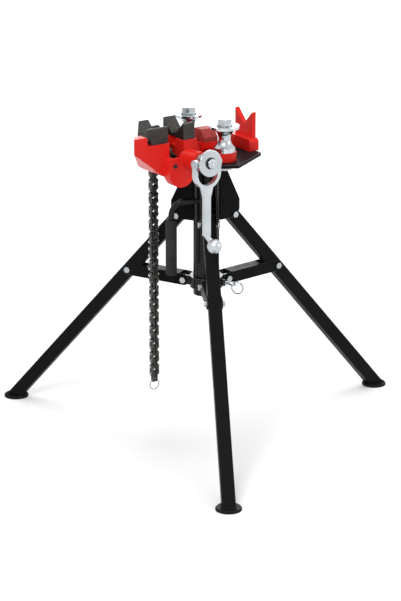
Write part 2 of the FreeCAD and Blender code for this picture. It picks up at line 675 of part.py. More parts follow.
def casting():
    """The vise body: a channelled block over a round housing, with a flanged base."""
    half = z.cast_half
    keel = z.plate_top - z.keel_drop
    lip_top = z.plate_top + z.lip_height
    outline = [
        (z.nose_reach, lip_top), (z.nose_reach, z.plate_top + z.chin_height),
        (z.jaw_front_end + z.keel_back, keel), (z.plate_cut, keel), (z.plate_cut, z.plate_top),
        (z.cheek_end - z.cheek_slope, z.plate_top), (z.cheek_end, z.seat_rise),
        (z.lip_end, z.seat_rise), (z.lip_end, lip_top)]
    body = polygon([Vector(-reach, -half, rise) for reach, rise in outline]).extrude(Y_AXIS * 2 * half)
    body = round_edges(
        body, z.leg_corner, lambda a, b: abs(a.y - b.y) > half and a.x < -z.jaw_front_end - z.keel_back / 2)
    body = body.cut(nose_wedge(0))

    plane = -z.chain_plane
    horns = Part.makeBox(
        2 * z.pocket_half, z.far_wall, z.horn_height - z.seat_height + z.leg_corner,
        Vector(plane - z.pocket_half, half - z.far_wall, z.seat_rise - z.leg_corner))
    horns = round_edges(
        horns, z.leg_corner, lambda a, b: min(a.z, b.z) > z.seat_rise and abs(a.y - b.y) > z.leg_corner)
    posts = [Part.makeCylinder(z.post_radius, z.post_height, place + Z_AXIS * z.plate_top)
             for place in roller_places().values()]
    rib = Part.makeBox(
        2 * z.rib_half, 2 * z.roller_offset, z.rib_height, Vector(-z.rib_half, -z.roller_offset, z.plate_top))
    spine = Part.makeBox(
        z.cheek_end + z.hub_back, 2 * z.spine_half, z.hub_height,
        Vector(-z.cheek_end, -z.spine_half, z.plate_top))
    whole = body.multiFuse(lobe_solids() + [horns, rib, spine, hub()] + posts).removeSplitter()

    pocket = Part.makeBox(
        2 * z.pocket_half, z.lobe_face - z.near_wall + half - z.far_wall, z.jaw_height,
        Vector(plane - z.pocket_half, z.near_wall - z.lobe_face, z.plate_top - z.pocket_drop))
    throat = Part.makeBox(
        2 * z.throat_half, half, z.lip_height,
        Vector(plane - z.throat_half, 0, z.plate_top + z.throat_height))
    channel = Part.makeBox(
        z.nose_reach - z.cheek_end + z.cheek_slope, 2 * z.channel_half, z.lip_height,
        Vector(-z.nose_reach, -z.channel_half, z.plate_top + z.channel_height))
    anchor_hole = Part.makeCylinder(
        z.anchor_pin / 2, 2 * (z.pocket_half + z.anchor_grip), anchor_start(), X_AXIS)
    pivot, axis = screw_frame()
    boss_end = pivot - axis * z.screw_boss_end
    screw_bore = Part.makeCylinder(z.hub_diameter / 4, z.screw_boss_end, boss_end, -axis)
    pin_hole = Part.makeCylinder(z.set_pin / 2, z.set_pin_depth, set_pin_face(), Y_AXIS)
    tools = [pocket, throat, channel, anchor_hole, screw_bore, pin_hole, vee_notch(-z.nose_reach, -z.lip_end)]
    for place in roller_places().values():
        tools.append(Part.makeCylinder(z.roller_bolt / 2, z.hub_rise, place + Z_AXIS * z.plate_top))
    for place in head_bolt_places()[:2]:
        tools.append(Part.makeCylinder(z.bolt_diameter / 2, z.rib_height / 2, place + Z_AXIS * z.plate_top))
    for tool in tools:
        whole = whole.cut(tool)
    node("vise_casting", feature("vise_casting_body", whole))
    node("chain_anchor_pin", rod(
        "anchor_pin_rod", "anchor_pin", "2 * (pocket_half + anchor_grip)", anchor_start(), X_AXIS))


def set_pin_face():
    """Where the slotted pin's axis meets the housing's face."""
    return Vector(-z.chain_plane - z.set_pin_shift, -z.lobe_face, z.plate_top + z.set_pin_height)


def set_pin():
    """A slotted pin screwed into the housing's face, beside the chain's anchor."""
    face = set_pin_face()
    pin = Part.makeCylinder(
        z.set_pin / 2, z.set_pin_stand + z.set_pin_depth, face - Y_AXIS * z.set_pin_stand, Y_AXIS)
    slot = Part.makeBox(
        z.set_pin, z.set_pin_slot, z.set_pin_slot,
        face - Vector(z.set_pin / 2, z.set_pin_stand, z.set_pin_slot / 2))
    node("set_pin", feature("set_pin_slotted", pin.cut(slot)))


def anchor_start():
    """One end of the pin that holds the chain's first link inside the housing."""
    return chain_anchor() - X_AXIS * (z.pocket_half + z.anchor_grip)


def chain_anchor():
    return Vector(-z.chain_plane, z.anchor_reach - z.lobe_face, z.plate_top + z.anchor_height)


def jaw(name, side, start, end):
    """A hardened jaw insert: flat below, toothed along its 45 degree face."""
    inner = z.jaw_inner
    crown = z.jaw_top - z.vee_rise
    count = int(z.jaw_teeth)
    points = [
        Vector(0, -z.jaw_outer, z.seat_rise), Vector(0, -z.jaw_outer, z.jaw_top - z.jaw_bevel),
        Vector(0, -crown - z.jaw_land, z.jaw_top)]
    step = (crown - inner) / count
    for index in range(count):
        peak = crown - index * step
        points.append(Vector(0, -peak, z.vee_rise + peak))
        valley = peak - step / 2
        sink = z.jaw_tooth_depth * math.sqrt(0.5)
        points.append(Vector(0, -valley - sink, z.vee_rise + valley - sink))
    points.append(Vector(0, -inner, z.vee_rise + inner))
    points.append(Vector(0, -inner, z.seat_rise))
    prism = polygon([Vector(point.x, point.y * side, point.z) for point in points])
    prism = prism.extrude(Vector(end - start, 0, 0))
    prism.translate(Vector(start, 0, 0))
    slant = polygon([
        Vector(start, 0, z.seat_rise), Vector(start + z.jaw_slant, 0, z.seat_rise),
        Vector(start, 0, z.jaw_top)]).extrude(Vector(0, 4 * z.jaw_outer, 0))
    slant.translate(Vector(0, -2 * z.jaw_outer, 0))
    if name.startswith("jaw_front"):
        prism = prism.cut(slant)
        prism = prism.cut(nose_wedge(z.jaw_inset))
    node(name, feature(name + "_insert", prism))


def jaws():
    for side, title in ((1, "near"), (-1, "far")):
        jaw(f"jaw_front_{title}", side, -z.jaw_front_start, -z.jaw_front_end)
        jaw(f"jaw_rear_{title}", side, -z.jaw_rear_start, -z.jaw_rear_end)


def pipe_rest():
    """An upright with a vee at its top on a broad bevelled foot, bolted to the head plate."""
    half = z.rest_half
    upright = Part.makeBox(
        z.rest_thickness, 2 * half, z.rest_height, Vector(z.rest_reach, -half, z.plate_top))
    foot = Part.makeBox(
        z.rest_foot_length, 2 * z.rest_foot_half, z.rest_foot_height,
        Vector(z.rest_back - z.rest_foot_length, -z.rest_foot_half, z.plate_top))
    shelf = z.plate_top + z.rest_foot_height - z.leg_corner
    foot = round_edges(
        foot, z.rest_bevel, lambda a, b: min(a.z, b.z) > shelf and abs(a.x - b.x) > z.rest_thickness)
    whole = upright.fuse(foot)
    whole = whole.cut(vee_notch(z.rest_reach - z.rest_foot_length, z.rest_back))
    for place in head_bolt_places()[2:]:
        whole = whole.cut(Part.makeCylinder(
            z.bolt_diameter / 2, z.rib_height / 2, place + Z_AXIS * z.plate_top))
    node("pipe_rest", feature("pipe_rest_casting", whole.removeSplitter()))


# ---------------------------------------------------------------- bending rollers

def roller(side, place):
    """A spool with a round groove that turns on its bolt above the casting's post."""
    spool = turned_body(f"roller_body_{side}", [
        ("roller_bore / 2", "roller_bottom"), ("roller_base / 2", "roller_bottom"),
        ("roller_base / 2", "roller_middle"), ("roller_flange / 2", "roller_middle"),
        ("roller_flange / 2", "roller_top"), ("roller_bore / 2", "roller_top")])
    groove = bind(
        doc.addObject("Part::Torus", f"roller_groove_{side}"),
        Radius1="roller_waist / 2 + roller_groove", Radius2="roller_groove")
    # a quarter turn keeps the torus's seam off the spool's
    groove.Placement = Placement(Vector(0, 0, z.roller_middle), Rotation(Z_AXIS, FULL_TURN / 4))
    grooved = subtract(f"roller_grooved_{side}", spool, groove)
    grooved.Placement = Placement(place, Rotation())
    node(f"roller_{side}", grooved)


def roller_bolt(side, place):
    """Hexagon bolt down through the roller, post and plate, with its nut below."""
    top = z.roller_top + z.roller_gap
    head = hexagon(f"roller_head_{side}", "roller_flats", "roller_head",
                   place + Z_AXIS * (top + z.washer_thickness), Z_AXIS)
    washer = rod(f"roller_washer_{side}", "washer_diameter", "washer_thickness", place + Z_AXIS * top, Z_AXIS)
    shank = rod(f"roller_shank_{side}", "roller_bolt", "roller_top + roller_gap - plate_under",
                place + Z_AXIS * z.plate_under, Z_AXIS)
    nut = hexagon(
        f"roller_nut_{side}", "roller_flats", "roller_head", place + Z_AXIS * z.plate_under, -Z_AXIS)
    node(f"roller_bolt_{side}", join(f"roller_bolt_joined_{side}", [head, washer, shank, nut]))


# ---------------------------------------------------------------- chain screw and crank

def chain_screw():
    """The screw's hub outside the boss, its thrust disc, cap and cross pin."""
    pivot, axis = screw_frame()
    face = pivot - axis * (z.screw_boss_end - z.hinge_gap)
    length = z.screw_boss_end - z.hinge_gap + z.disc_offset
    hub = Part.makeCylinder(z.hub_diameter / 2, length, face, axis)
    shank = Part.makeCylinder(
        z.hub_diameter / 4 - z.hinge_gap, z.screw_boss_end - z.hinge_gap * 2, face, -axis)
    hub = hub.fuse(shank)
    beside = z.fork_inner + 2 * z.fork_arm
    cross = Part.makeCylinder(z.cross_pin / 2, 2 * beside, pivot - X_AXIS * beside, X_AXIS)
    node("chain_screw", feature("chain_screw_hub", hub.cut(cross)))

    disc_at = pivot + axis * z.disc_offset
    disc = Part.makeCylinder(z.disc_diameter / 2, z.disc_thickness, disc_at, axis)
    rims = [line for line in disc.Edges if len(line.Vertexes) == 1]
    disc = disc.makeFillet(z.disc_thickness / 4, rims)
    node("thrust_disc", feature("thrust_disc_washer", disc))

    cap_at = disc_at + axis * z.disc_thickness
    cap = Part.makeCylinder(z.cap_diameter / 2, z.cap_length, cap_at, axis)
    crown = [line for line in cap.Edges
             if len(line.Vertexes) == 1 and (line.Vertexes[0].Point - cap_at).dot(axis) > z.cap_length / 2]
    cap = cap.makeFillet(z.cap_length / 4, crown)
    centre = Part.makeCone(0, z.cap_length / 4, z.cap_length / 4, cap_at + axis * z.cap_length * 3 / 4, axis)
    node("screw_cap", feature("screw_cap_turned", cap.cut(centre)))

    pin = rod("cross_pin_rod", "cross_pin", "2 * (fork_inner + fork_arm + pad_bevel)",
              pivot - X_AXIS * (z.fork_inner + z.fork_arm + z.pad_bevel), X_AXIS)
    node("cross_pin", pin)


def crank():
    """A forged fork that hangs from the cross pin, its stem ending in a ball."""
    pivot, _ = screw_frame()
    half = z.fork_width / 2
    middle = z.fork_inner + z.fork_arm / 2
    crotch = pivot - Z_AXIS * z.fork_drop
    pieces = []
    for side in (-1, 1):
        inner = pivot.x + side * middle - z.fork_arm / 2
        pieces.append(Part.makeBox(
            z.fork_arm, z.fork_width, z.fork_drop, Vector(inner, pivot.y - half, crotch.z)))
        pieces.append(Part.makeCylinder(
            z.cross_pin, z.fork_arm, Vector(inner, pivot.y, pivot.z), X_AXIS))
    section = polygon([
        Vector(pivot.x + z.fork_inner, pivot.y - half, crotch.z),
        Vector(pivot.x + z.fork_inner + z.fork_arm, pivot.y - half, crotch.z),
        Vector(pivot.x + z.fork_inner + z.fork_arm, pivot.y + half, crotch.z),
        Vector(pivot.x + z.fork_inner, pivot.y + half, crotch.z)])
    pieces.append(section.revolve(crotch, Y_AXIS, FULL_TURN / 2))
    stem_top = crotch.z - z.fork_inner
    stem_low = stem_top - z.stem_length
    stem = polygon([
        Vector(pivot.x - z.stem_width, pivot.y - half, stem_top),
        Vector(pivot.x + z.stem_width, pivot.y - half, stem_top),
        Vector(pivot.x + z.stem_width / 2, pivot.y - half, stem_top - 2 * z.stem_width),
        Vector(pivot.x + z.stem_width / 2, pivot.y - half, stem_low),
        Vector(pivot.x - z.stem_width / 2, pivot.y - half, stem_low),
        Vector(pivot.x - z.stem_width / 2, pivot.y - half, stem_top - 2 * z.stem_width)])
    stem = stem.extrude(Vector(0, z.fork_width, 0))
    gap = Part.makeCylinder(z.fork_inner, z.fork_width * 2, crotch - Y_AXIS * z.fork_width, Y_AXIS)
    pieces.append(stem.cut(gap))
    ball_at = Vector(pivot.x, pivot.y - z.ball_out, stem_low - z.ball_drop)
    elbow = Vector(pivot.x, pivot.y, stem_low)
    pieces.append(Part.makeSphere(z.fork_width / 2, elbow))
    neck = ball_at - elbow
    pieces.append(Part.makeCylinder(z.fork_width / 2, neck.Length, elbow, neck))
    fork = pieces[0].multiFuse(pieces[1:])
    bore = Part.makeCylinder(
        z.cross_pin / 2 + z.hinge_gap, 4 * z.fork_inner, pivot - X_AXIS * 2 * z.fork_inner, X_AXIS)
    fork = fork.cut(bore)
    ball = Part.makeSphere(z.ball_diameter / 2, ball_at)
    fork = fork.cut(ball)
    node("crank_fork", feature("crank_fork_forged", fork.removeSplitter()))
    node("crank_ball", feature("crank_ball_knob", ball))


# ---------------------------------------------------------------- chain

def chain_pins():
    """Every pin centre: across the vise on a shallow sag, over the hook and straight down."""
    anchor = chain_anchor()
    hook = Vector(
        -z.chain_plane, z.cast_half - z.hook_inset,
        z.plate_top + z.horn_height + z.link_pin / 2 + z.hinge_gap)
    chord = hook - anchor
    count = int(chord.Length / z.pitch) + 1
    count += 1 - count % 2
    if chord.Length > count * z.pitch:
        count += 2
    # equal chords of an arc: the half angle of each link solves sin(n a) = k sin(a)
    ratio = chord.Length / z.pitch
    low_angle, high_angle = 1e-6, math.pi / count
    for _ in range(60):
        angle = (low_angle + high_angle) / 2
        if math.sin(count * angle) / math.sin(angle) > ratio:
            low_angle = angle
        else:
            high_angle = angle
    along = Vector(chord).normalize()
    pins = [anchor]
    for index in range(count):
        turn = (2 * index + 1 - count) * angle
        step = Rotation(X_AXIS, math.degrees(turn)).multVec(along)
        pins.append(pins[-1] + step * z.pitch)
    hang_y = z.cast_half + z.plate_half + z.hang_gap
    first = Vector(hook.x, hang_y, hook.z - math.sqrt(z.pitch ** 2 - (hang_y - hook.y) ** 2))
    pins.append(first)
    for index in range(HANGING_LINKS):
        pins.append(first - Z_AXIS * z.pitch * (index + 1))
    return pins, count + 1


def link_plate(start, end, offset, start_hole, end_hole):
    """One side plate: a stadium round two pin holes."""
    along = end - start
    side = Vector(0, -along.z, along.y).normalize() * z.plate_half
    thickness = X_AXIS * z.link_thickness
    shape = polygon([start + side, end + side, end - side, start - side]).extrude(thickness)
    for spot in (start, end):
        shape = shape.fuse(Part.makeCylinder(z.plate_half, z.link_thickness, spot, X_AXIS))
    shape = shape.removeSplitter()
    for spot, hole in ((start, start_hole), (end, end_hole)):
        shape = shape.cut(Part.makeCylinder(hole, z.link_thickness, spot, X_AXIS))
    shape.translate(X_AXIS * offset)
    return shape


def inner_link(start, end, first_hole):
    """Two loose plates that turn on the pins of the links before and after."""
    hole = z.link_pin / 2 + z.hinge_gap
    near = z.inner_offset - z.link_thickness / 2
    return [link_plate(start, end, offset, first_hole, hole) for offset in (near, -near - z.link_thickness)]


def outer_link(start, end):
    """Two plates riveted to their two pins."""
    tight = z.link_pin / 2
    pieces = [link_plate(start, end, offset, tight, tight)
              for offset in (z.outer_offset, -z.outer_offset - z.link_thickness)]
    for spot in (start, end):
        pieces.append(Part.makeCylinder(tight, 2 * z.link_pin_half, spot - X_AXIS * z.link_pin_half, X_AXIS))
    return pieces


def chain_run(pins, first, last):
    """The links from pin first to pin last, inner and outer in turn."""
    solids = []
    for index in range(first, last):
        start, end = pins[index], pins[index + 1]
        if index % 2:
            solids += outer_link(start, end)
        else:
            pin = z.anchor_pin if index == 0 else z.link_pin
            solids += inner_link(start, end, pin / 2 + z.hinge_gap)
    return Part.makeCompound(solids)


def chain():
    pins, hang = chain_pins()
    node("chain_across", feature("chain_across_links", chain_run(pins, 0, hang)))
    bounds = [hang + links for links in range(0, HANGING_LINKS, RUN_LINKS)] + [hang + HANGING_LINKS]
    for number in range(len(bounds) - 1):
        run = chain_run(pins, bounds[number], bounds[number + 1])
        node(f"chain_hang_{number + 1}", feature(f"chain_hang_links_{number + 1}", run))
    ring = Part.makeTorus(z.end_ring_radius, z.end_ring_wire / 2)
    edge = z.inner_offset + z.link_thickness / 2
    curve = z.end_ring_radius - math.sqrt(z.end_ring_radius ** 2 - edge ** 2)
    play = z.link_pin / 2 - z.end_ring_wire / 2 - curve
    centre = pins[-1] - Z_AXIS * (z.end_ring_radius + play)
    ring.Placement = Placement(centre, Rotation(Z_AXIS, Y_AXIS))
    node("chain_ring", feature("chain_ring_wire", ring))


# ---------------------------------------------------------------- build and write

mast()
head_plate()
head_bolts()
pivot_bolts()
for leg_name, leg_bearing in LEGS.items():
    bracket_pair(leg_name, leg_bearing)
    leg(leg_name, leg_bearing)
    foot_pad(leg_name, leg_bearing)
    strut(leg_name, leg_bearing)
    strut_studs(leg_name, leg_bearing)
collar()
collar_bolts()
pull_pin()
carrying_handle()
casting()
set_pin()
jaws()
pipe_rest()
for roller_side, roller_place in roller_places().items():
    roller(roller_side, roller_place)
    roller_bolt(roller_side, roller_place)
chain_screw()
crank()
chain()

doc.recompute()
for item in doc.Objects:
    if "Invalid" in item.State or "Error" in item.State:
        raise RuntimeError(f"{item.Name} failed: {item.State}")
for label, item in nodes.items():
    if item.Shape.isNull() or not item.Shape.isValid():
        raise RuntimeError(f"{label} has no valid shape")

os.makedirs("parts", exist_ok=True)
for label, item in nodes.items():
    item.Shape.exportStep(f"parts/{label}.step")
print(len(nodes), "sub-parts written")
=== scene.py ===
import math

import bmesh
import bpy
from mathutils import Matrix, Vector


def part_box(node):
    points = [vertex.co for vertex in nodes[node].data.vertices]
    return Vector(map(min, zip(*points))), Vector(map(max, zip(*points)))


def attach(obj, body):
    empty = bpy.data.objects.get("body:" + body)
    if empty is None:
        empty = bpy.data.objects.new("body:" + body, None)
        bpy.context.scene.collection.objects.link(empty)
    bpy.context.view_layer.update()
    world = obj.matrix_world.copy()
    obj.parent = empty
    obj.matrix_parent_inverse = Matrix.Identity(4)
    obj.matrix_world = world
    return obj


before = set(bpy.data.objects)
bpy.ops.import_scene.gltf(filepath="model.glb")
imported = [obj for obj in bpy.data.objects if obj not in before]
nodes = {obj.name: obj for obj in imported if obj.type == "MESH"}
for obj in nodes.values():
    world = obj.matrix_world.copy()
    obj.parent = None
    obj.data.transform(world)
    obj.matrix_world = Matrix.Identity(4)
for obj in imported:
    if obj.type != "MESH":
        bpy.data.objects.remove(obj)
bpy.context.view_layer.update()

# lengths are in metres unless the name says otherwise; angles are in degrees, but LEG_LEAN and
# SCREW_TILT are in radians

# the camera of the photo
CAMERA_PLACE = (-3.35535, -4.5226, 2.1157)
CAMERA_PITCH = 18.0
CAMERA_AZIMUTH = -35.39
FOCAL_PIXELS = 2532.7
FRAME_PIXELS = 601
SENSOR_MM = 36
CLIP_END = 100

FLOOR_HALF = 30
# the floor's glow, from GLOW_START to GLOW_END away from the middle
FLOOR_GLOW_NEAR = 0.1
FLOOR_GLOW_FAR = 0.65
GLOW_START = 0.8
GLOW_END = 4.5
WORLD_STRENGTH = 0.4
# name: place, aim, size, watts
LIGHTS = {
    "key": ((-2.4, -1.9, 3.0), (-0.1, 0, 0.5), (1.2, 1.2), 62),
    "fill": ((2.4, -2.4, 1.5), (-0.1, 0, 0.45), (1.6, 1.6), 19),
    "top": ((0.3, 0.4, 3.2), (-0.1, 0, 0.4), (2.0, 2.0), 44),
    "rim": ((1.8, 2.4, 1.7), (-0.1, 0, 0.5), (1.0, 1.8), 21),
}

BEARINGS = {"right": 0, "left": 120, "front": 240}
LEG_LEAN = math.radians(41)
# weld beads: radius, how far their middle stands off a plate's face, and their ripples,
# steps and swells in shares of the radius and rates in radians a step
BEAD = 0.0022
FOOT_BEAD = BEAD * 0.8
BEAD_STAND_OFF = BEAD * 0.3
BEAD_SIDES = 8
RIPPLE_STEP = 0.45
RIPPLE_SWELL = 0.16
RIPPLE_RATE = 2.1
DRIFT_SWELL = 0.05
DRIFT_RATE = 0.7
END_SWELL = 0.4
# the chain screw's snap ring
SCREW_TILT = math.radians(5)
DISC_THICKNESS = 0.005
SNAP_RADIUS = 0.0121
SNAP_WIRE = 0.0014
SNAP_SEAT = SNAP_WIRE * 0.7
SNAP_SIDES = 10
SNAP_GAP = 24
SNAP_STEPS = 48
# the rough boss of the casting, between the rollers, and how softly it fades, as a share of its half size
HUB_LOW = (-0.153, -0.033, 0.695)
HUB_HIGH = (-0.112, 0.033, 0.727)
HUB_FADE = 0.03
# how far from the chain's middle plane the painted glint on its pin ends begins
PIN_GLINT_START = 0.0091
PIN_GLINT_FULL = 0.0094
# the grip's knurl: ridges round it, its slant along it, and half the length of its band
KNURL_RIDGES = 14
KNURL_RADIANS_PER_METRE = 1100
KNURL_HALF_START = 0.019
KNURL_HALF_END = 0.021
# samples of an edge's rounding, and the span that noise mostly keeps to
BEVEL_SAMPLES = 6
NOISE_LOW = 0.3
NOISE_HIGH = 0.7


# ---------------------------------------------------------------- camera

def add_camera():
    data = bpy.data.cameras.new("photo_camera")
    camera = bpy.data.objects.new("photo_camera", data)
    bpy.context.scene.collection.objects.link(camera)
    camera.location = CAMERA_PLACE
    camera.rotation_euler = (math.radians(90 - CAMERA_PITCH), 0, math.radians(CAMERA_AZIMUTH))
    data.sensor_fit = "AUTO"
    data.sensor_width = SENSOR_MM
    data.lens = SENSOR_MM * FOCAL_PIXELS / FRAME_PIXELS
    data.clip_end = CLIP_END
    bpy.context.scene.camera = camera
    bpy.context.scene.view_settings.view_transform = "Standard"


# ---------------------------------------------------------------- materials

class Nodes:
    """Short calls for building one material's node tree."""

    def __init__(self, name):
        self.material = bpy.data.materials.new(name)
        self.material.use_nodes = True
        self.tree = self.material.node_tree
        self.tree.nodes.clear()
        self.output = self.tree.nodes.new("ShaderNodeOutputMaterial")
        self.shader = self.tree.nodes.new("ShaderNodeBsdfPrincipled")
        self.tree.links.new(self.shader.outputs["BSDF"], self.output.inputs["Surface"])
        self.place = self.tree.nodes.new("ShaderNodeTexCoord").outputs["Object"]

    def add(self, kind, inputs=None, **settings):
        node = self.tree.nodes.new(kind)
        for key, setting in settings.items():
            setattr(node, key, setting)
        for key, source in (inputs or {}).items():
            if isinstance(source, bpy.types.NodeSocket):
                self.tree.links.new(source, node.inputs[key])
            else:
                node.inputs[key].default_value = source
        return node

    def noise(self, scale, detail, roughness=0.55, stretch=None):
        """Noise from 0 to 1 over the object's own coordinates."""
        place = self.place
        if stretch:
            place = self.add("ShaderNodeMapping", {"Vector": place, "Scale": stretch}).outputs["Vector"]
        return self.add(
            "ShaderNodeTexNoise",
            {"Vector": place, "Scale": scale, "Detail": detail, "Roughness": roughness}).outputs["Fac"]

    def spread(self, source, low, high, start=0.0, stop=1.0):
        """A value that runs from start to stop as source runs from low to high."""
        return self.add(
            "ShaderNodeMapRange",
            {"Value": source, "From Min": low, "From Max": high, "To Min": start, "To Max": stop}
        ).outputs["Result"]

    def blend(self, factor, first, second):
        """The colour from first to second as factor runs from 0 to 1."""
        node = self.add("ShaderNodeMix", {0: factor}, data_type="RGBA")
        for index, colour in ((6, first), (7, second)):
            if isinstance(colour, bpy.types.NodeSocket):
                self.tree.links.new(colour, node.inputs[index])
            else:
                node.inputs[index].default_value = (*colour, 1)
        return node.outputs[2]

    def soft_normal(self, radius):
        """The normal of a surface whose edges are rounded to radius."""
        return self.add("ShaderNodeBevel", {"Radius": radius}, samples=BEVEL_SAMPLES).outputs["Normal"]

    def bump(self, height, strength, distance, radius):
        """A bump over a surface whose edges are softened by radius."""
        soft = self.soft_normal(radius)
        inputs = {"Height": height, "Strength": strength, "Distance": distance, "Normal": soft}
        self.link(self.add("ShaderNodeBump", inputs).outputs["Normal"], "Normal")

    def edge_mask(self, radius, low, high):
        """1 along convex and concave edges, 0 on the flats."""
        soft = self.soft_normal(radius)
        hard = self.add("ShaderNodeNewGeometry").outputs["Normal"]
        alike = self.add("ShaderNodeVectorMath", {0: soft, 1: hard}, operation="DOT_PRODUCT").outputs["Value"]
        return self.spread(self.math("SUBTRACT", 1.0, alike), low, high)

    def patchy(self, scale, detail, start, stop):
        """A value that wanders from start to stop over the surface."""
        return self.spread(self.noise(scale, detail), NOISE_LOW, NOISE_HIGH, start, stop)

    def edged(self, edge, body, bright, share):
        """The body's colour, brightened by up to share where edge is 1."""
        return self.blend(self.spread(edge, 0, 1, 0, share), body, bright)

    def math(self, operation, first, second=None):
        inputs = {0: first} if second is None else {0: first, 1: second}
        return self.add("ShaderNodeMath", inputs, operation=operation).outputs[0]

    def link(self, source, socket):
        self.tree.links.new(source, self.shader.inputs[socket])

    def set(self, **values):
        """Single values on the shader's sockets, spaces of their names written as underscores."""
        for name, value in values.items():
            self.shader.inputs[name.replace("_", " ")].default_value = value


def powder_coat(name, specular, low, high):
    """Black powder coat: fine orange peel, edges lightened as a painted highlight and partly edge wear,
    roughness from low to high.
    """
    m = Nodes(name)
    cloud = m.noise(9, detail=4)
    edge = m.edge_mask(radius=0.0019, low=0.04, high=0.4)
    body = m.blend(cloud, (0.006, 0.006, 0.0065), (0.012, 0.012, 0.013))
    # edges lightened to grey: a painted highlight, and partly edge wear
    m.link(m.edged(edge, body, bright=(0.36, 0.36, 0.365), share=0.85), "Base Color")
    m.link(m.patchy(scale=60, detail=3, start=low, stop=high), "Roughness")
    m.bump(m.noise(900, detail=2), strength=0.12, distance=0.0003, radius=0.0008)
    m.set(Specular_IOR_Level=specular)
    return m.material


def red_enamel(hub_low, hub_high):
    """Glossy red enamel over a sand-cast surface, thin and rough on the boss between the rollers."""
    m = Nodes("enamel_red")
    cloud = m.noise(14, detail=3)
    middle = (Vector(hub_low) + Vector(hub_high)) / 2
    reach = (Vector(hub_high) - Vector(hub_low)) / 2
    apart = m.add("ShaderNodeVectorMath", {0: m.place, 1: middle}, operation="SUBTRACT").outputs["Vector"]
    share = m.add("ShaderNodeVectorMath", {0: apart, 1: reach}, operation="DIVIDE").outputs["Vector"]
    sides = m.add("ShaderNodeSeparateXYZ", {"Vector": share}).outputs
    widest = m.math("ABSOLUTE", sides["X"])
    for side in ("Y", "Z"):
        widest = m.math("MAXIMUM", widest, m.math("ABSOLUTE", sides[side]))
    raw = m.spread(widest, 1 - HUB_FADE, 1 + HUB_FADE, 1, 0)
    edge = m.edge_mask(radius=0.0022, low=0.03, high=0.4)
    body = m.blend(cloud, (0.66, 0.014, 0.010), (0.80, 0.024, 0.017))
    # edges painted a paler red: a painted highlight
    bright = m.edged(edge, body, bright=(0.80, 0.05, 0.045), share=0.5)
    worn = m.blend(m.noise(160, detail=5), (0.17, 0.012, 0.012), (0.5, 0.07, 0.06))
    m.link(m.blend(raw, bright, worn), "Base Color")
    gloss = m.patchy(scale=40, detail=3, start=0.22, stop=0.36)
    m.link(m.math("ADD", gloss, m.math("MULTIPLY", raw, 0.2)), "Roughness")
    coarse = m.math("MULTIPLY", m.noise(110, detail=4, roughness=0.7), m.math("MULTIPLY", raw, 2.5))
    height = m.math("ADD", m.noise(230, detail=4, roughness=0.6), coarse)
    m.bump(height, strength=0.3, distance=0.0007, radius=0.0022)
    m.set(Specular_IOR_Level=0.15)
    return m.material


def zinc_plate(name, tone, low, high):
    """Zinc of one tone: clouded grey metal, edges lightened as a painted highlight, faint turning marks,
    roughness low to high.
    """
    m = Nodes(name)
    cloud = m.noise(38, detail=2)
    edge = m.edge_mask(radius=0.0012, low=0.03, high=0.4)
    body = m.blend(cloud, (tone * 0.62, tone * 0.68, tone * 0.72), (tone * 0.95, tone, tone * 1.03))
    # edges brightened towards pale grey: a painted highlight
    m.link(m.edged(edge, body, bright=(0.78, 0.81, 0.83), share=0.8), "Base Color")
    m.link(m.patchy(scale=140, detail=3, start=low, stop=high), "Roughness")
    m.bump(m.noise(500, detail=2, stretch=(1, 1, 12)), strength=0.06, distance=0.0002, radius=0.0006)
    m.set(Metallic=1.0)
    return m.material


def jaw_steel():
    """Hardened steel with a dark phosphate finish, brighter on the worn teeth."""
    m = Nodes("jaw_steel")
    edge = m.edge_mask(radius=0.0008, low=0.03, high=0.4)
    body = m.blend(m.noise(80, detail=4), (0.03, 0.029, 0.028), (0.075, 0.07, 0.068))
    m.link(m.edged(edge, body, bright=(0.22, 0.22, 0.22), share=0.55), "Base Color")
    m.link(m.patchy(scale=160, detail=3, start=0.34, stop=0.52), "Roughness")
    m.bump(m.noise(420, detail=3), strength=0.15, distance=0.0003, radius=0.0005)
    m.set(Metallic=0.85)
    return m.material


def chain_steel(plane):
    """Oiled dark plates with a painted highlight along their edges and a painted glint on the riveted pin
    ends.
    """
    m = Nodes("chain_steel")
    across = m.add("ShaderNodeSeparateXYZ", {"Vector": m.place}).outputs["X"]
    depth = m.math("ABSOLUTE", m.math("SUBTRACT", across, plane))
    pin_glint = m.spread(depth, PIN_GLINT_START, PIN_GLINT_FULL)
    edge = m.edge_mask(radius=0.0006, low=0.03, high=0.4)
    body = m.blend(m.noise(120, detail=4), (0.016, 0.015, 0.014), (0.085, 0.08, 0.075))
    # plate edges painted paler: a painted highlight
    plates = m.edged(edge, body, bright=(0.5, 0.49, 0.47), share=0.8)
    # pin ends painted pale grey: a painted glint
    m.link(m.blend(pin_glint, plates, (0.55, 0.54, 0.52)), "Base Color")
    m.link(m.patchy(scale=300, detail=3, start=0.2, stop=0.36), "Roughness")
    m.bump(m.noise(700, detail=2), strength=0.1, distance=0.0002, radius=0.0004)
    m.set(Metallic=0.9)
    return m.material


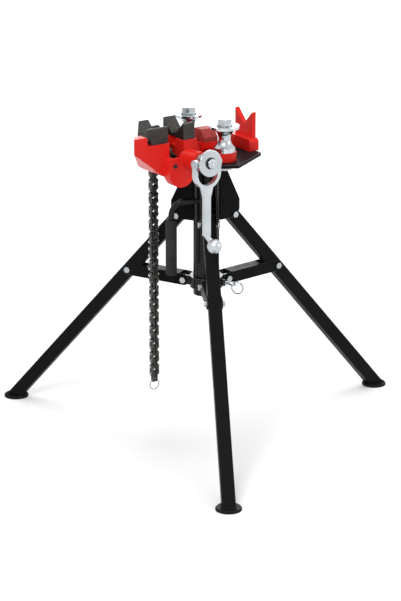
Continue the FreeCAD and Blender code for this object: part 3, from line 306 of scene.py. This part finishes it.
def grip_rubber(low, high):
    """Matt black rubber with a band of diamond knurl round its middle."""
    m = Nodes("grip_rubber")
    centre = (Vector(low) + Vector(high)) / 2
    spot = m.add("ShaderNodeVectorMath", {0: m.place, 1: centre}, operation="SUBTRACT").outputs["Vector"]
    split = m.add("ShaderNodeSeparateXYZ", {"Vector": spot}).outputs
    angle = m.math("ARCTAN2", split["Y"], split["X"])
    turns = m.math("MULTIPLY", angle, KNURL_RIDGES)
    rise = m.math("MULTIPLY", split["Z"], KNURL_RADIANS_PER_METRE)
    left = m.math("SINE", m.math("ADD", turns, rise))
    right = m.math("SINE", m.math("SUBTRACT", turns, rise))
    diamond = m.math("MULTIPLY", left, right)
    band = m.spread(m.math("ABSOLUTE", split["Z"]), KNURL_HALF_START, KNURL_HALF_END, 1, 0)
    knurl = m.math("MULTIPLY", m.math("ABSOLUTE", diamond), band)
    body = m.blend(m.noise(90, detail=3), (0.006, 0.006, 0.006), (0.012, 0.012, 0.012))
    m.link(m.edged(knurl, body, bright=(0.08, 0.08, 0.08), share=0.35), "Base Color")
    m.link(m.patchy(scale=200, detail=2, start=0.5, stop=0.68), "Roughness")
    height = m.math("ADD", knurl, m.math("MULTIPLY", m.noise(600, detail=2), 0.1))
    m.bump(height, strength=0.6, distance=0.0008, radius=0.0008)
    m.set(Specular_IOR_Level=0.3)
    return m.material


def paint(material, *names):
    """The material on the pieces of these names, in place of any other."""
    for name in names:
        data = nodes[name].data
        data.materials.clear()
        data.materials.append(material)


# ---------------------------------------------------------------- stage

def link(obj):
    bpy.context.scene.collection.objects.link(obj)
    return obj


def seen_directly(tree):
    """1 for the rays that show the background itself: camera, mirror and glass rays."""
    path = tree.nodes.new("ShaderNodeLightPath")
    total = path.outputs["Is Camera Ray"]
    for ray in ("Is Glossy Ray", "Is Transmission Ray"):
        either = tree.nodes.new("ShaderNodeMath")
        either.operation = "MAXIMUM"
        tree.links.new(total, either.inputs[0])
        tree.links.new(path.outputs[ray], either.inputs[1])
        total = either.outputs[0]
    return total


def add_floor():
    """A white floor that glows more with distance, so the background stays white round a soft shadow."""
    corners = [(x * FLOOR_HALF, y * FLOOR_HALF, 0) for x, y in ((-1, -1), (1, -1), (1, 1), (-1, 1))]
    mesh = bpy.data.meshes.new("floor")
    mesh.from_pydata(corners, [], [(0, 1, 2, 3)])
    floor = link(bpy.data.objects.new("floor", mesh))
    m = Nodes("floor_white")
    m.link(m.blend(m.noise(2, detail=2), (0.93, 0.93, 0.93), (0.95, 0.95, 0.95)), "Base Color")
    m.set(Roughness=0.9, Specular_IOR_Level=0.1, Emission_Color=(1, 1, 1, 1))
    far_off = m.add("ShaderNodeVectorMath", {0: m.place}, operation="LENGTH").outputs["Value"]
    glow = m.spread(far_off, GLOW_START, GLOW_END, FLOOR_GLOW_NEAR, FLOOR_GLOW_FAR)
    m.link(m.math("MULTIPLY", seen_directly(m.tree), glow), "Emission Strength")
    mesh.materials.append(m.material)


def add_world():
    """White where it is seen and dimmer as a light."""
    world = bpy.data.worlds.new("studio")
    bpy.context.scene.world = world
    world.use_nodes = True
    tree = world.node_tree
    soft = tree.nodes["Background"]
    soft.inputs["Color"].default_value = (1, 1, 1, 1)
    soft.inputs["Strength"].default_value = WORLD_STRENGTH
    white = tree.nodes.new("ShaderNodeBackground")
    white.inputs["Color"].default_value = (1, 1, 1, 1)
    mix = tree.nodes.new("ShaderNodeMixShader")
    tree.links.new(seen_directly(tree), mix.inputs["Fac"])
    tree.links.new(soft.outputs[0], mix.inputs[1])
    tree.links.new(white.outputs[0], mix.inputs[2])
    tree.links.new(mix.outputs[0], tree.nodes["World Output"].inputs["Surface"])


def add_light(name, place, aim, size, power):
    data = bpy.data.lights.new(name, "AREA")
    data.shape = "RECTANGLE"
    data.size, data.size_y = size
    data.energy = power
    lamp = link(bpy.data.objects.new(name, data))
    lamp.location = place
    lamp.rotation_euler = (Vector(aim) - Vector(place)).to_track_quat("-Z", "Y").to_euler()


def add_lights():
    for name, setting in LIGHTS.items():
        add_light(name, *setting)


# ---------------------------------------------------------------- welds and snap ring

def tube(name, spots, sides, body, material, closed=False):
    """A round tube through spots, each a place, a direction and a radius."""
    route = bmesh.new()
    rings = []
    for spot, along, radius in spots:
        across = along.orthogonal().normalized()
        ring = []
        for side in range(sides):
            turn = Matrix.Rotation(2 * math.pi * side / sides, 3, along)
            ring.append(route.verts.new(spot + turn @ across * radius))
        rings.append(ring)
    pairs = list(zip(rings, rings[1:] + rings[:1])) if closed else list(zip(rings, rings[1:]))
    for low, high in pairs:
        for side in range(sides):
            after = (side + 1) % sides
            route.faces.new((low[side], low[after], high[after], high[side]))
    if not closed:
        route.faces.new(rings[0][::-1])
        route.faces.new(rings[-1])
    mesh = bpy.data.meshes.new(name)
    route.to_mesh(mesh)
    route.free()
    mesh.polygons.foreach_set("use_smooth", [True] * len(mesh.polygons))
    mesh.materials.append(material)
    obj = link(bpy.data.objects.new(name, mesh))
    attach(obj, body)


def bead(name, points, radius, body, material, closed=False):
    """A rippled weld bead along points: its radius pulses as the weld was laid."""
    step = radius * RIPPLE_STEP
    line = []
    ends = points + points[:1] if closed else points
    for first, second in zip(ends, ends[1:]):
        run = second - first
        count = max(2, int(run.length / step))
        line += [(first + run * index / count, run.normalized()) for index in range(count)]
    if not closed:
        line.append((points[-1], (points[-1] - points[-2]).normalized()))
    spots = []
    for index, (spot, along) in enumerate(line):
        ripple = RIPPLE_SWELL * math.sin(index * RIPPLE_RATE) + DRIFT_SWELL * math.sin(index * DRIFT_RATE)
        swell = radius * (1 + ripple)
        if not closed and index in (0, len(line) - 1):
            swell *= END_SWELL
        spots.append((spot, along, swell))
    tube(name, spots, BEAD_SIDES, body, material, closed)


def mast_welds(material):
    """Beads down both outer sides of every bracket plate where it meets the mast."""
    low, high = (Vector(corner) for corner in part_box("mast_tube"))
    axis = (low + high) / 2
    radius = (high.x - low.x) / 2
    plate_low, plate_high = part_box("bracket_right")
    outside = plate_high[1]
    reach = math.sqrt(radius ** 2 - outside ** 2)
    for side, bearing in BEARINGS.items():
        turn = Matrix.Rotation(math.radians(bearing), 3, "Z")
        for hand in (-1, 1):
            foot = turn @ Vector((reach + BEAD, hand * (outside + BEAD_STAND_OFF), 0))
            ends = [Vector((axis.x + foot.x, axis.y + foot.y, rise))
                    for rise in (plate_low[2] + 2 * BEAD, plate_high[2] - 2 * BEAD)]
            bead(f"weld_{side}_{'left' if hand > 0 else 'right'}", ends, BEAD, "stand", material)


def foot_welds(material):
    """A bead round every leg's end where it stands on its pad."""
    leg_low, leg_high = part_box("leg_right")
    half = (leg_high[1] - leg_low[1]) / 2
    for side, bearing in BEARINGS.items():
        low, high = (Vector(corner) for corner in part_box(f"foot_{side}"))
        centre = Vector(((low.x + high.x) / 2, (low.y + high.y) / 2, high.z))
        turn = Matrix.Rotation(math.radians(bearing), 3, "Z")
        long_half = half / math.cos(LEG_LEAN)
        corners = [(long_half, half), (-long_half, half), (-long_half, -half), (long_half, -half)]
        points = [centre + turn @ Vector((along, across, 0)) for along, across in corners]
        bead(f"weld_foot_{side}", points, FOOT_BEAD, f"leg_{side}_body", material, closed=True)


def snap_ring(material):
    """The dark snap ring round the cap on the thrust disc, open at the bottom."""
    low, high = (Vector(corner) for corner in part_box("thrust_disc"))
    out = Vector((0, -math.cos(SCREW_TILT), math.sin(SCREW_TILT)))
    centre = (low + high) / 2 + out * (DISC_THICKNESS / 2 + SNAP_SEAT)
    up = Vector((0, math.sin(SCREW_TILT), math.cos(SCREW_TILT)))
    right = Vector((1, 0, 0))
    spots = []
    for index in range(SNAP_STEPS + 1):
        turn = math.radians(-90 + SNAP_GAP / 2 + (360 - SNAP_GAP) * index / SNAP_STEPS)
        ray = right * math.cos(turn) + up * math.sin(turn)
        along = up * math.cos(turn) - right * math.sin(turn)
        spots.append((centre + ray * SNAP_RADIUS, along, SNAP_WIRE))
    tube("snap_ring", spots, SNAP_SIDES, "screw_body", material)


# ---------------------------------------------------------------- dress the stand

def dress():
    glossy = powder_coat("powder_coat_gloss", specular=0.18, low=0.1, high=0.2)
    paint(glossy, "mast_tube", "collar", "pin_bush", "carry_rod")
    black = powder_coat("powder_coat_black", specular=0.03, low=0.3, high=0.46)
    paint(black, "head_plate")
    for side in BEARINGS:
        paint(black, f"bracket_{side}", f"leg_{side}", f"foot_{side}", f"strut_{side}")
    paint(red_enamel(HUB_LOW, HUB_HIGH), "vise_casting", "pipe_rest")
    paint(jaw_steel(), "jaw_front_near", "jaw_front_far", "jaw_rear_near", "jaw_rear_far", "set_pin")
    centre = (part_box("chain_across")[0][0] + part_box("chain_across")[1][0]) / 2
    paint(chain_steel(centre), "chain_across", *[f"chain_hang_{n}" for n in range(1, 5)])
    paint(grip_rubber(*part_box("carry_grip")), "carry_grip")
    plain = zinc_plate("zinc_plate", tone=0.52, low=0.16, high=0.28)
    paint(plain, "head_bolts", "pivot_bolts", "collar_bolts", "pull_pin", "pull_ring", "carry_nut",
          "roller_bolt_near", "roller_bolt_far", "chain_anchor_pin", "chain_ring")
    paint(plain, *[f"strut_studs_{side}" for side in BEARINGS])
    forged = zinc_plate("forged_zinc", tone=0.66, low=0.3, high=0.44)
    paint(forged, "crank_fork", "crank_ball", "chain_screw", "cross_pin")
    turned = zinc_plate("turned_zinc", tone=0.66, low=0.12, high=0.22)
    paint(turned, "thrust_disc", "screw_cap", "roller_near", "roller_far")


add_camera()
add_floor()
add_world()
add_lights()
dress()
mast_welds(nodes["bracket_right"].data.materials[0])
foot_welds(nodes["leg_right"].data.materials[0])
snap_ring(nodes["jaw_front_near"].data.materials[0])
